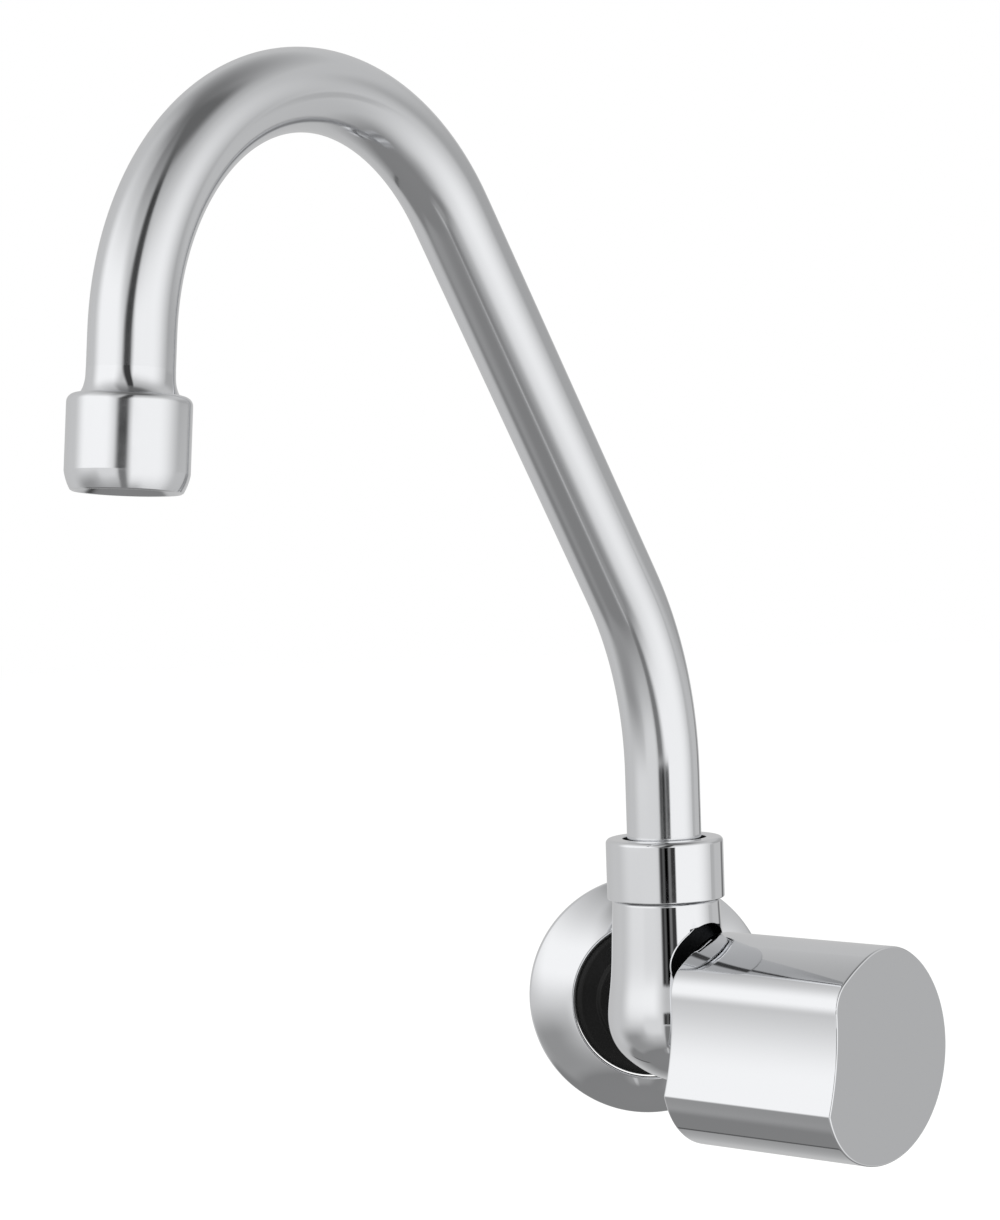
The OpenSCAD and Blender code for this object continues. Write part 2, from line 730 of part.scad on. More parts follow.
// ---- knob ----------------------------------------------------------------------------------

insert_af = 12;
insert_length = spline_length + 2;
insert_at = spline_at + gap;
knob_front = knob_back + knob_length;
hub_r = 9.5;
hub_back = insert_at;
screw_d = 5;
screw_length = 8;
screw_at = insert_at + insert_length / 2;

function polar(r, a) = [r * cos(a), r * sin(a)];

// Meeting point of two circles round a and b, on the left side of the way from a to b
function circles_meet(a, ra, b, rb) =
    let (v = b - a, d = norm(v), k = (d * d + ra * ra - rb * rb) / (2 * d), h = sqrt(ra * ra - k * k))
    a + v * k / d + [-v[1], v[0]] * h / d;

// Outline of the knob, taken in by a wall: a circle with a concave scallop, a flattened shoulder
// above it and an eased edge below it. A rounding stands a hair proud of the curves that it joins,
// so that it crosses them instead of grazing them.
rounding_proud = 0.04;

module knob_outline(inset) {
    r = knob_d / 2;
    scallop_c = polar(r - scallop_depth + scallop_r, scallop_angle);
    shoulder_c = polar(shoulder_r - r + shoulder_depth, shoulder_angle + 180);
    easing_c = polar(r - easing_r, easing_angle);
    fillet_c = circles_meet(shoulder_c, shoulder_r - shoulder_fillet_r, scallop_c, scallop_r + shoulder_fillet_r);
    fillet_r = max(shoulder_fillet_r - inset, 1);
    corner = fillet_c + (fillet_c / norm(fillet_c)) * 3 * shoulder_fillet_r;
    to_shoulder = (fillet_c - shoulder_c) / norm(fillet_c - shoulder_c);
    to_scallop = (scallop_c - fillet_c) / norm(scallop_c - fillet_c);
    difference() {
        intersection() {
            circle(r = r - inset, $fn = 180);
            translate(shoulder_c) circle(r = shoulder_r - inset, $fn = 360);
        }
        translate(scallop_c) circle(r = scallop_r + inset, $fn = 360);
        difference() {
            polygon([easing_c, easing_c + polar(2 * r, easing_angle), easing_c + polar(3 * r, 225),
                     easing_c + polar(2 * r, 182)]);
            translate(easing_c) circle(r = easing_r - inset + rounding_proud, $fn = 180);
        }
        difference() {
            polygon([fillet_c, fillet_c + to_shoulder * 2 * shoulder_fillet_r, corner,
                     fillet_c + to_scallop * 2 * shoulder_fillet_r]);
            translate(fillet_c) circle(r = fillet_r + rounding_proud, $fn = 96);
        }
    }
}

// Hollow knob: outer wall, flat front, a hub with a hexagon pocket and the set screw's boss
module knob() {
    boss_r = 4.2;
    color(chrome) on_valve_axis() difference() {
        union() {
            difference() {
                translate([0, 0, knob_back]) linear_extrude(knob_length) knob_outline(0);
                translate([0, 0, knob_back - eps]) linear_extrude(knob_length - knob_wall) knob_outline(knob_wall);
            }
            translate([0, 0, hub_back]) cylinder(r = hub_r, h = knob_front - hub_back - knob_wall / 2);
            translate([0, 0, screw_at]) rotate([90, 0, 0]) cylinder(r = boss_r, h = knob_d / 2 - knob_wall / 2, $fn = 48);
        }
        translate([0, 0, hub_back - eps])
            cylinder(r = insert_af / 2 / cos(30) + seat_gap, h = insert_length + seat_gap, $fn = 6);
        translate([0, 0, screw_at]) rotate([90, 0, 0]) cylinder(r = screw_d / 2 + seat_gap, h = knob_d, $fn = 48);
    }
}

// Hexagon sleeve with the female spline
module knob_insert() {
    color(acetal) on_valve_axis() difference() {
        translate([0, 0, insert_at + seat_gap])
            cylinder(r = insert_af / 2 / cos(30), h = insert_length - 2 * seat_gap, $fn = 6);
        translate([0, 0, insert_at - 1]) linear_extrude(spline_length + 2)
            polygon(spline_points(spline_d / 2 + 0.05, spline_teeth, 0.5));
    }
}

// Set screw from below, with a hexagon socket
module knob_set_screw() {
    flat = insert_af / 2;
    color(steel) on_valve_axis() translate([0, -flat - seat_gap, screw_at]) rotate([90, 0, 0]) difference() {
        cylinder(r = screw_d / 2, h = screw_length, $fn = 48);
        translate([0, 0, screw_length - 3]) cylinder(r = 1.45, h = 4, $fn = 6);
    }
}

wall_flange();
flange_grommet();
inlet_strainer();
faucet_body();
swivel_nut();
glide_ring();
cartridge_housing();
cartridge_oring();
disc_sleeve();
seat_seal();
fixed_disc();
moving_disc();
cartridge_spindle();
spindle_orings();
thrust_washer();
spindle_clip();
knob_insert();
knob();
knob_set_screw();
spout_ferrule();
spout_orings();
spout_tube();
outlet_adapter();
aerator_housing();
aerator_washer();
aerator_insert();
aerator_screens();
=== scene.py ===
import math

import bmesh
import bpy
import numpy as np
from mathutils import Matrix, Vector


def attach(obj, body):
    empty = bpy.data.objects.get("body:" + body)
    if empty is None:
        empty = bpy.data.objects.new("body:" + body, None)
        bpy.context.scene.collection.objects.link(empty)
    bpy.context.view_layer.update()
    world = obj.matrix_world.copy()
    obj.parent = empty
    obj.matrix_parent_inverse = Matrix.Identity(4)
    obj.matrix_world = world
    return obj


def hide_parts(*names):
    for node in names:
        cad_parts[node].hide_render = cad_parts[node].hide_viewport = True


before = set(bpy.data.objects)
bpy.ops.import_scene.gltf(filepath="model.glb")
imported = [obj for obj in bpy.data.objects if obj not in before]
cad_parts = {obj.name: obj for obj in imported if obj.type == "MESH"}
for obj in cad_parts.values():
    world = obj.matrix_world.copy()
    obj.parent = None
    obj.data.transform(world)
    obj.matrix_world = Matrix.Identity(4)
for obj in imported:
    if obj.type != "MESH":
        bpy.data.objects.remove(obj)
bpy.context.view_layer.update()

# ---- camera --------------------------------------------------------------------------------
# A short telephoto lens, about a metre out from the wall and level with the middle of the spout.
# It is turned a little to the right and looks slightly down.

MM = 0.001
camera_at = (-79.1, -974.8, 151.0)
turned_right, tipped, rolled = 0.043, -0.046, -0.032
ahead = Vector((math.sin(turned_right) * math.cos(tipped), math.cos(turned_right) * math.cos(tipped),
                math.sin(tipped)))
level = Vector((math.cos(turned_right), -math.sin(turned_right), 0))
upright = level.cross(ahead)
right = math.cos(rolled) * level + math.sin(rolled) * upright
up = math.cos(rolled) * upright - math.sin(rolled) * level
lens = bpy.data.cameras.new("studio_camera")
lens.lens = 106.23
lens.sensor_fit = "VERTICAL"
lens.sensor_height = 36
lens.clip_start = 0.01
camera = bpy.data.objects.new("studio_camera", lens)
camera.matrix_world = Matrix((
    (right.x, up.x, -ahead.x, camera_at[0] * MM),
    (right.y, up.y, -ahead.y, camera_at[1] * MM),
    (right.z, up.z, -ahead.z, camera_at[2] * MM),
    (0, 0, 0, 1)))
bpy.context.scene.collection.objects.link(camera)
bpy.context.scene.camera = camera
bpy.context.scene.view_settings.view_transform = "Standard"

# ---- studio --------------------------------------------------------------------------------
# A product studio as polished metal sees it: a tall soft box on each side, the dark gap between
# them where the camera stands, a grey floor and ceiling, and a pale sheet behind the faucet.


def add_node(tree, kind, inputs=(), **settings):
    """Adds one shader node with its settings; inputs are (socket, value or socket to link from)."""
    made = tree.nodes.new(kind)
    for key, value in settings.items():
        setattr(made, key, value)
    for socket, value in dict(inputs).items():
        if isinstance(value, bpy.types.NodeSocket):
            tree.links.new(value, made.inputs[socket])
        else:
            made.inputs[socket].default_value = value
    return made


world = bpy.data.worlds.new("studio")
bpy.context.scene.world = world
world.use_nodes = True
sky = world.node_tree
sky.nodes.clear()

# Azimuth is 0 straight out of the wall and positive to the right; elevation is 90 straight up.
toward = add_node(sky, "ShaderNodeSeparateXYZ",
                  {0: add_node(sky, "ShaderNodeTexCoord").outputs["Generated"]}).outputs
outward = add_node(sky, "ShaderNodeMath", {0: toward["Y"], 1: -1}, operation="MULTIPLY")
heading = add_node(sky, "ShaderNodeMath", {0: toward["X"], 1: outward.outputs[0]}, operation="ARCTAN2")
rise = add_node(sky, "ShaderNodeMath", {0: toward["Z"]}, operation="ARCSINE")
to_degrees = 180 / math.pi
azimuth, elevation = [
    add_node(sky, "ShaderNodeMath", {0: turn.outputs[0], 1: to_degrees}, operation="MULTIPLY").outputs[0]
    for turn in (heading, rise)]

# The room round the soft boxes: a level of grey for each elevation.
room_levels = {-90: 0.25, -60: 0.24, -35: 0.54, -15: 0.56, 40: 0.57, 62: 0.33, 75: 0.22, 90: 0.16}
room_height = add_node(sky, "ShaderNodeMath", {
    0: elevation, 1: 1 / 180, 2: 0.5}, operation="MULTIPLY_ADD")
room = add_node(sky, "ShaderNodeValToRGB", {"Fac": room_height.outputs[0]})
while len(room.color_ramp.elements) < len(room_levels):
    room.color_ramp.elements.new(0.5)
for stop, (height, grey) in zip(room.color_ramp.elements, room_levels.items()):
    stop.position = height / 180 + 0.5
    stop.color = (grey, grey, grey, 1)
light_level = room.outputs["Color"]

# The pieces of the studio, each over the last: its level, the azimuths and then the elevations
# between which its soft border rises and falls again, in degrees, and how far it leans to the
# right with each degree of elevation.
studio_pieces = [
    (0.61, (-157, -119, -54, -32), (-41, -24, 52, 87), 0),      # left soft box, its spill
    (1.05, (-112, -79, -36, -6), (-18, 11, 22, 62), -0.3),      # left soft box
    (0.7, (12, 36, 67, 107), (-80, -40, 24, 48), -0.13),        # right soft box, its spill
    (1.02, (2, 12, 57, 106), (-60, -18, 9, 40), 0.06),          # right soft box
    (0.76, (-60, -48, -24, -12), (-36, -18, -8, 4), 0),         # white card under the left soft box
    (0.14, (-5, 15, 75, 110), (50, 66, 80, 95), 0),             # unlit ceiling on the right
    (0.32, (-125, -92, -80, -34), (-60, -48, -30, -10), 0),     # dark floor under the left soft box
    (0.24, (-147, -143, -112, -96), (-62, -57, -46, -38), 0),   # darker floor further back
    (0.1, (-149, -147, -145, -143), (-62, -57, -46, -38), 0),   # its edge
    (0.34, (-30, -14, 4, 16), (-75, -67, -61, -57), 0),         # paler mat on the floor
    (0.55, (-17, -14, -12, -9), (-75, -67, -60, -52), 0),       # its bright edge
    (0.42, (98, 110, 150, 165), (-3, 2, 12, 30), 0),            # end of the right soft box
    (0.48, (95, 97, 104, 112), (-15, -12, -6, -3), 0),          # and its lower corner
    (0.05, (134, 141, 146, 154), (-66, -50, -14, 8), 0),        # stand behind, to the right
    (0.2, (-17, -12, -3, 3), (-60, -52, -12, -8), 0),           # gap, foot of the camera's stand
    (0.04, (-19, -13, 13.5, 17), (-8.8, -7.8, 1.5, 3.6), 0),    # gap, lower half: the stand
    (0.1, (-11, -9, -7, -5), (-8.8, -7.8, 1.5, 3.6), 0),        # its left leg
    (0.0, (-6, -4, -1, 1), (-8.8, -7.8, 1.5, 3.6), 0),          # its dark middle
    (0.18, (1, 2, 5, 8), (-8.8, -7.8, 1.5, 3.6), 0),            # its right leg
    (0.05, (-27, -16, -5, 2), (6, 8.5, 50, 70), 0.38),          # gap, upper half
]
for grey, across, upward, lean_by in studio_pieces:
    leaning = add_node(sky, "ShaderNodeMath", {0: elevation, 1: -lean_by, 2: azimuth},
                       operation="MULTIPLY_ADD").outputs[0]
    cover = 1.0
    for angle, (first_out, first_in, last_in, last_out) in ((leaning, across), (elevation, upward)):
        for outer_edge, inner_edge in ((first_out, first_in), (last_out, last_in)):
            border = add_node(sky, "ShaderNodeMapRange", {
                "Value": angle, "From Min": outer_edge, "From Max": inner_edge},
                interpolation_type="SMOOTHSTEP")
            cover = add_node(sky, "ShaderNodeMath", {0: cover, 1: border.outputs["Result"]},
                             operation="MULTIPLY").outputs[0]
    light_level = add_node(sky, "ShaderNodeMix", {"Factor": cover, "A": light_level, "B": grey}
                           ).outputs["Result"]

# The camera itself meets a plain white sheet; every other ray meets the studio.
studio_light = add_node(sky, "ShaderNodeBackground", {"Color": light_level})
white_sheet = add_node(sky, "ShaderNodeBackground", {"Color": (1, 1, 1, 1)})
ray = add_node(sky, "ShaderNodeLightPath").outputs
seen_directly = add_node(sky, "ShaderNodeMath", {
    0: ray["Is Camera Ray"], 1: ray["Is Transmission Ray"]}, operation="MAXIMUM")
add_node(sky, "ShaderNodeOutputWorld", {"Surface": add_node(sky, "ShaderNodeMixShader", {
    0: seen_directly.outputs[0], 1: studio_light.outputs[0], 2: white_sheet.outputs[0]}).outputs[0]})

# Three soft lamps lift the level on what isn't metal; the metal already sees the soft boxes.
for name, place, aim, size, power in (
        ("left_lamp", (-1.1, -1.3, 1.0), (-0.05, -0.1, 0.08), 0.9, 26),
        ("right_lamp", (1.3, -1.2, 0.7), (0.0, -0.1, 0.08), 0.9, 20),
        ("top_lamp", (0.0, -0.1, 1.6), (0.0, -0.1, 0.0), 1.2, 14)):
    lamp = bpy.data.lights.new(name, "AREA")
    lamp.shape = "DISK"
    lamp.size = size
    lamp.energy = power
    lamp_at = bpy.data.objects.new(name, lamp)
    lamp_at.location = place
    lamp_at.rotation_euler = (Vector(aim) - Vector(place)).to_track_quat("-Z", "Y").to_euler()
    lamp_at.visible_glossy = False
    lamp_at.visible_camera = False
    bpy.context.scene.collection.objects.link(lamp_at)

# ---- floor ---------------------------------------------------------------------------------
# A plain pale floor, well below the faucet, which hangs on a wall. It glows a little when it is
# seen directly, so that it shows white and still keeps a faint shadow.


def from_hex(code):
    """sRGB hex to linear RGBA."""
    parts = [int(code[i:i + 2], 16) / 255 for i in (0, 2, 4)]
    return (*[c / 12.92 if c <= 0.04045 else ((c + 0.055) / 1.055) ** 2.4 for c in parts], 1)


floor_half, floor_height, glow, glow_share = 6.0, -0.26, 1.12, 0.8
floor_mesh = bpy.data.meshes.new("floor")
corners = [(x * floor_half, y * floor_half, 0) for x, y in ((-1, -1), (1, -1), (1, 1), (-1, 1))]
floor_mesh.from_pydata(corners, [], [(0, 1, 2, 3)])
floor = bpy.data.objects.new("floor", floor_mesh)
floor.location.z = floor_height
floor.visible_glossy = False
bpy.context.scene.collection.objects.link(floor)

# Matt emulsion, a very pale warm grey: soft shading and no reflection at all.
paint = bpy.data.materials.new("pale_floor_paint")
paint.use_nodes = True
tree = paint.node_tree
tree.nodes.clear()
matt = add_node(tree, "ShaderNodeBsdfDiffuse", {"Color": from_hex("F4F4F2"), "Roughness": 0.5})
lit = add_node(tree, "ShaderNodeEmission", {"Color": (1, 1, 1, 1), "Strength": glow})
ray = add_node(tree, "ShaderNodeLightPath").outputs
seen_directly = add_node(tree, "ShaderNodeMath", {
    0: ray["Is Camera Ray"], 1: ray["Is Transmission Ray"]}, operation="MAXIMUM")
share = add_node(tree, "ShaderNodeMath", {
    0: seen_directly.outputs[0], 1: glow_share}, operation="MULTIPLY")
add_node(tree, "ShaderNodeOutputMaterial", {"Surface": add_node(tree, "ShaderNodeMixShader", {
    0: share.outputs[0], 1: matt.outputs[0], 2: lit.outputs[0]}).outputs[0]})
floor_mesh.materials.append(paint)

# ---- wall flange ---------------------------------------------------------------------------
# A loose cover plate, spun from thin brass sheet and chromed: a dome that falls to a short rim on
# the wall, with the edge of its round hole rolled back. It hides the hole in the wall.


def polished_chrome(name, least_haze, most_haze):
    """Bright chrome on polished metal: a mirror, a little cool, with faint waves from the wheel and
    thin wipe marks that only just cloud it. The marks are drawn coarser than they are, to show."""
    wave_mm, mark_long_mm, mark_wide_mm = 9, 7, 0.5
    chrome = bpy.data.materials.new(name)
    chrome.use_nodes = True
    tree = chrome.node_tree
    tree.nodes.clear()
    where = add_node(tree, "ShaderNodeTexCoord").outputs["Object"]
    waves = add_node(tree, "ShaderNodeTexNoise", {
        "Vector": where, "Scale": 1 / (wave_mm * MM), "Detail": 1.0})
    streaks = add_node(tree, "ShaderNodeMapping", {
        "Vector": where, "Rotation": (0.6, 0.2, 0.9), "Scale": (1, mark_long_mm / mark_wide_mm, 1)})
    wipes = add_node(tree, "ShaderNodeTexNoise", {
        "Vector": streaks.outputs[0], "Scale": 1 / (mark_long_mm * MM), "Detail": 4.0, "Roughness": 0.6})
    haze = add_node(tree, "ShaderNodeMapRange", {
        "Value": wipes.outputs[0], "From Min": 0.35, "From Max": 0.75,
        "To Min": least_haze, "To Max": most_haze})
    bump = add_node(tree, "ShaderNodeBump", {
        "Strength": 0.05, "Distance": 0.02 * MM, "Height": waves.outputs[0]})
    metal = add_node(tree, "ShaderNodeBsdfPrincipled", {
        "Base Color": from_hex("EDEEF0"), "Metallic": 1.0, "Roughness": haze.outputs[0],
        "Normal": bump.outputs[0]})
    add_node(tree, "ShaderNodeOutputMaterial", {"Surface": metal.outputs[0]})
    return chrome


def arc(centre, radius, start, end, steps=12):
    """Points (radius from the axis, height) along an arc, from one polar angle to another."""
    return [(centre[0] + radius * math.cos(math.radians(start + (end - start) * k / steps)),
             centre[1] + radius * math.sin(math.radians(start + (end - start) * k / steps)))
            for k in range(steps + 1)]


def finely(outline, longest=1.2):
    """Cuts the long sides of a closed outline, so that a mirror finish stays even along them."""
    points = []
    for a, b in zip(outline, outline[1:] + outline[:1]):
        parts = max(1, math.ceil(math.dist(a, b) / longest))
        points += [(a[0] + (b[0] - a[0]) * k / parts, a[1] + (b[1] - a[1]) * k / parts)
                   for k in range(parts)]
    return points


def closed_mesh(mesh):
    """Turns every face of a closed mesh outwards."""
    made = bmesh.new()
    made.from_mesh(mesh)
    bmesh.ops.recalc_face_normals(made, faces=made.faces)
    made.to_mesh(mesh)
    made.free()
    return mesh


def as_piece(name, mesh, material, body, crease=35):
    """Makes a mesh in millimetres, already in its place, into a smooth piece on a body."""
    mesh.transform(Matrix.Scale(MM, 4))
    closed_mesh(mesh)
    mesh.shade_smooth()
    mesh.set_sharp_from_angle(angle=math.radians(crease))
    piece = bpy.data.objects.new(name, mesh)
    bpy.context.scene.collection.objects.link(piece)
    mesh.materials.append(material)
    even = piece.modifiers.new("even_shading", "WEIGHTED_NORMAL")
    even.keep_sharp = True
    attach(piece, body)
    return piece


def turned_mesh(name, outline, place, sides=192):
    """Revolves a closed outline round the local z axis."""
    mesh = bpy.data.meshes.new(name)
    rings, points, faces = [], [], []
    turns = [2 * math.pi * k / sides for k in range(sides)]
    for r, h in outline:
        count = sides if r > 1e-4 else 1
        rings.append([len(points) + k for k in range(count)])
        points += [place @ Vector((r * math.cos(turn), r * math.sin(turn), h)) for turn in turns[:count]]
    for low, high in zip(rings, rings[1:] + rings[:1]):
        if len(low) == 1 and len(high) == 1:
            continue
        for k in range(sides):
            n = (k + 1) % sides
            corners = [low[k % len(low)], low[n % len(low)], high[n % len(high)], high[k % len(high)]]
            faces.append(list(dict.fromkeys(corners)))
    mesh.from_pydata(points, [], faces)
    return mesh


def circles_meet(a, ra, b, rb, near):
    """The point where two circles meet, the one nearer to a hint."""
    apart = b - a
    d = apart.length
    along = (d * d + ra * ra - rb * rb) / (2 * d)
    aside = math.sqrt(max(ra * ra - along * along, 0))
    foot = a + apart * along / d
    spots = [foot + Vector((-apart.y, apart.x)) * s * aside / d for s in (1, -1)]
    return min(spots, key=lambda p: (p - near).length)


chrome = polished_chrome("polished_chrome_plating", 0.025, 0.07)
on_inlet_axis = Matrix.Rotation(math.pi / 2, 4, "X")
flange_r, flange_depth, flange_rim, rim_round, rim_break = 32.5, 11, 1.4, 1.6, 0.25
flange_hole_r, flange_lip, flange_sheet, dome_r = 21, 0.5, 1.2, 34
lip_r = flange_hole_r + flange_lip
rim_at, lip_top = Vector((flange_r - rim_round, flange_rim)), Vector((lip_r, flange_depth))
dome_at = circles_meet(rim_at, dome_r - rim_round, lip_top, dome_r, near=Vector((5, -20)))
low_angle = math.degrees(math.atan2(*(rim_at - dome_at).yx))
top_angle = math.degrees(math.atan2(*(lip_top - dome_at).yx))
flange_outline = (
    [(flange_r - flange_sheet, 0), (flange_r - rim_break, 0), (flange_r, rim_break)]
    + arc(rim_at, rim_round, 0, low_angle - 2, 10)
    + arc(dome_at, dome_r, low_angle, top_angle, 40)
    + arc((lip_r, flange_depth - flange_lip), flange_lip, top_angle, 270, 14)
    + arc(dome_at, dome_r - flange_sheet, top_angle - 1.5, low_angle - 0.6, 30))
flange_mesh = turned_mesh("flange_cover", finely(flange_outline), on_inlet_axis, 256)
flange = as_piece("flange_cover", flange_mesh, chrome, "base")
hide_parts("wall_flange")

# ---- grommet -------------------------------------------------------------------------------
# Moulded black rubber disc that fills the flange's hole and grips the inlet leg: a rounded
# shoulder outside, a low hub round the leg, and a smooth, slightly glossy skin.


def rounded(corners):
    """A closed outline from corners (radius from the axis, height, radius of that corner)."""
    points = []
    for before, corner, after in zip(corners[-1:] + corners[:-1], corners, corners[1:] + corners[:1]):
        here = Vector(corner[:2])
        back, on = (Vector(before[:2]) - here).normalized(), (Vector(after[:2]) - here).normalized()
        half = back.angle(on) / 2
        centre = here + (back + on).normalized() * corner[2] / math.sin(half)
        first = here + back * corner[2] / math.tan(half) - centre
        last = here + on * corner[2] / math.tan(half) - centre
        sweep = first.angle_signed(last)
        steps = max(4, round(abs(math.degrees(sweep)) / 9))
        for k in range(steps + 1):
            turn = -sweep * k / steps
            points.append((centre.x + first.x * math.cos(turn) - first.y * math.sin(turn),
                           centre.y + first.x * math.sin(turn) + first.y * math.cos(turn)))
    return finely(points)


# Black rubber as it comes from the mould: nearly black, with a soft sheen that a thin grey bloom
# breaks up in patches. Its grain is drawn coarser than it is, to show.
rubber_grain_mm, bloom_mm = 0.5, 12
black_rubber = bpy.data.materials.new("moulded_black_rubber")
black_rubber.use_nodes = True
tree = black_rubber.node_tree
tree.nodes.clear()
where = add_node(tree, "ShaderNodeTexCoord").outputs["Object"]
grain = add_node(tree, "ShaderNodeTexNoise", {
    "Vector": where, "Scale": 1 / (rubber_grain_mm * MM), "Detail": 3.0})
bloom = add_node(tree, "ShaderNodeTexNoise", {
    "Vector": where, "Scale": 1 / (bloom_mm * MM), "Detail": 4.0})
tint = add_node(tree, "ShaderNodeMix", {
    "Factor": bloom.outputs[0], "A": from_hex("070707"), "B": from_hex("121212")}, data_type="RGBA")
gloss = add_node(tree, "ShaderNodeMapRange", {"Value": bloom.outputs[0], "To Min": 0.26, "To Max": 0.42})
skin = add_node(tree, "ShaderNodeBump", {
    "Strength": 0.15, "Distance": 0.03 * MM, "Height": grain.outputs[0]})
add_node(tree, "ShaderNodeOutputMaterial", {"Surface": add_node(tree, "ShaderNodeBsdfPrincipled", {
    "Base Color": tint.outputs["Result"], "Roughness": gloss.outputs[0], "IOR": 1.52,
    "Specular IOR Level": 0.2, "Normal": skin.outputs[0]}).outputs[0]})

grommet_r, grommet_hole_r, grommet_back, grommet_face = 20.85, 11.03, 2, 11.4
hub_foot_r, hub_top_r, hub_face = 14.9, 14.1, 12.4
grommet_outline = rounded([
    (grommet_hole_r, grommet_back, 0.3), (grommet_r, grommet_back, 0.8), (grommet_r, grommet_face, 2.4),
    (hub_foot_r, grommet_face, 0.7), (hub_top_r, hub_face, 0.5), (grommet_hole_r, hub_face, 0.4)])
grommet = as_piece("rubber_grommet", turned_mesh("rubber_grommet", grommet_outline, on_inlet_axis),
                   black_rubber, "base")
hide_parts("flange_grommet")

# ---- body ----------------------------------------------------------------------------------
# Cast brass, polished and chromed: a drafted barrel that swells to a round heel, the neck of the
# valve, with a pocket milled round it in which the knob turns, and the inlet leg. The leg ends in
# a pipe thread that screws in to the wall.

WALL_TO_AXIS, SEAM, VALVE_ANGLE = 65, 34.2, 45
on_body_axis = Matrix.Translation((0, -WALL_TO_AXIS, 0))
on_valve_axis = (on_body_axis @ Matrix.Rotation(math.radians(VALVE_ANGLE), 4, "Z")
                 @ Matrix.Rotation(math.pi / 2, 4, "X"))


def settled(points, rounds):
    """Evens a run of points out, so that its curvature changes softly; the ends stay."""
    run = np.array(points, float)
    for _ in range(rounds):
        run[1:-1] = (run[:-2] + 2 * run[1:-1] + run[2:]) / 4
    return [tuple(p) for p in run]


def evenly(points, step):
    """Spaces a run of points evenly."""
    run = np.array(points, float)
    along = np.concatenate([[0], np.cumsum(np.hypot(*np.diff(run, axis=0).T))])
    spots = np.linspace(0, along[-1], max(2, round(along[-1] / step)))
    return [tuple(float(np.interp(s, along, part)) for part in run.T) for s in spots]


def joined(name, base_mesh, steps):
    """Applies a run of exact boolean steps (operation, mesh) to a mesh, all in millimetres."""
    piece = bpy.data.objects.new(name, base_mesh)
    bpy.context.scene.collection.objects.link(piece)
    helpers = []
    for operation, mesh in steps:
        helper = bpy.data.objects.new("helper", mesh)
        bpy.context.scene.collection.objects.link(helper)
        helpers.append(helper)
        step = piece.modifiers.new(operation, "BOOLEAN")
        step.operation, step.object, step.solver = operation, helper, "EXACT"
    result = bpy.data.meshes.new_from_object(piece.evaluated_get(bpy.context.evaluated_depsgraph_get()))
    for spare in helpers + [piece]:
        bpy.data.objects.remove(spare)
    return result


def rod(name, radius, start, end, place, sides=128):
    """A solid round bar along the local z axis."""
    outline = [(0, start), (radius, start), (radius, end), (0, end)]
    return closed_mesh(turned_mesh(name, outline, place, sides))


def lofted(name, rings, place):
    """Closed skin through rings of as many points each, capped at both ends."""
    count = len(rings[0])
    points = [place @ Vector(p) for ring in rings for p in ring]
    faces = [list(range(count)), list(range(len(points) - count, len(points)))]
    for a in range(len(rings) - 1):
        for k in range(count):
            n = (k + 1) % count
            faces.append((a * count + k, a * count + n, (a + 1) * count + n, (a + 1) * count + k))
    mesh = bpy.data.meshes.new(name)
    mesh.from_pydata(points, [], faces)
    return closed_mesh(mesh)


def pipe_thread(crest, root, pitch, start, end, place, sides=96):
    """A rod with a rounded pipe thread, which fades out at both of its ends."""
    rings_each_turn, faded, fade_slope = 10, 0.15, 0.9
    rings = []
    for h in np.linspace(start, end, round((end - start) / pitch * rings_each_turn) + 1):
        most = min(crest, root + faded + fade_slope * min(h - start, end - h))
        ring = []
        for k in range(sides):
            turn = 2 * math.pi * k / sides
            wave = 0.5 + 0.5 * math.cos(2 * math.pi * (h / pitch - k / sides))
            r = min(most, root + (crest - root) * wave)
            ring.append((r * math.cos(turn), r * math.sin(turn), h))
        rings.append(ring)
    return lofted("pipe_thread", rings, place)


def finish_inside(piece, finish, is_inside):
    """Gives a second finish to the faces that is_inside picks by centre, in millimetres, and normal."""
    mesh = piece.data
    mesh.materials.append(finish)
    for face in mesh.polygons:
        if is_inside(face.center / MM, face.normal):
            face.material_index = 1


def plain_finish(name, dark, light, roughness, spread, grain_mm, depth_mm, metallic=0.0):
    """A finish whose colour, gloss and surface all vary with one grain of a size in millimetres."""
    made = bpy.data.materials.new(name)
    made.use_nodes = True
    tree = made.node_tree
    tree.nodes.clear()
    where = add_node(tree, "ShaderNodeTexCoord").outputs["Object"]
    grain = add_node(tree, "ShaderNodeTexNoise", {
        "Vector": where, "Scale": 1 / (grain_mm * MM), "Detail": 4.0})
    tone = add_node(tree, "ShaderNodeMix", {
        "Factor": grain.outputs[0], "A": from_hex(dark), "B": from_hex(light)}, data_type="RGBA")
    gloss = add_node(tree, "ShaderNodeMapRange", {
        "Value": grain.outputs[0], "To Min": roughness - spread, "To Max": roughness + spread})
    bump = add_node(tree, "ShaderNodeBump", {
        "Strength": 0.3, "Distance": depth_mm * MM, "Height": grain.outputs[0]})
    add_node(tree, "ShaderNodeOutputMaterial", {"Surface": add_node(tree, "ShaderNodeBsdfPrincipled", {
        "Base Color": tone.outputs["Result"], "Metallic": metallic, "Roughness": gloss.outputs[0],
        "Normal": bump.outputs[0]}).outputs[0]})
    return made


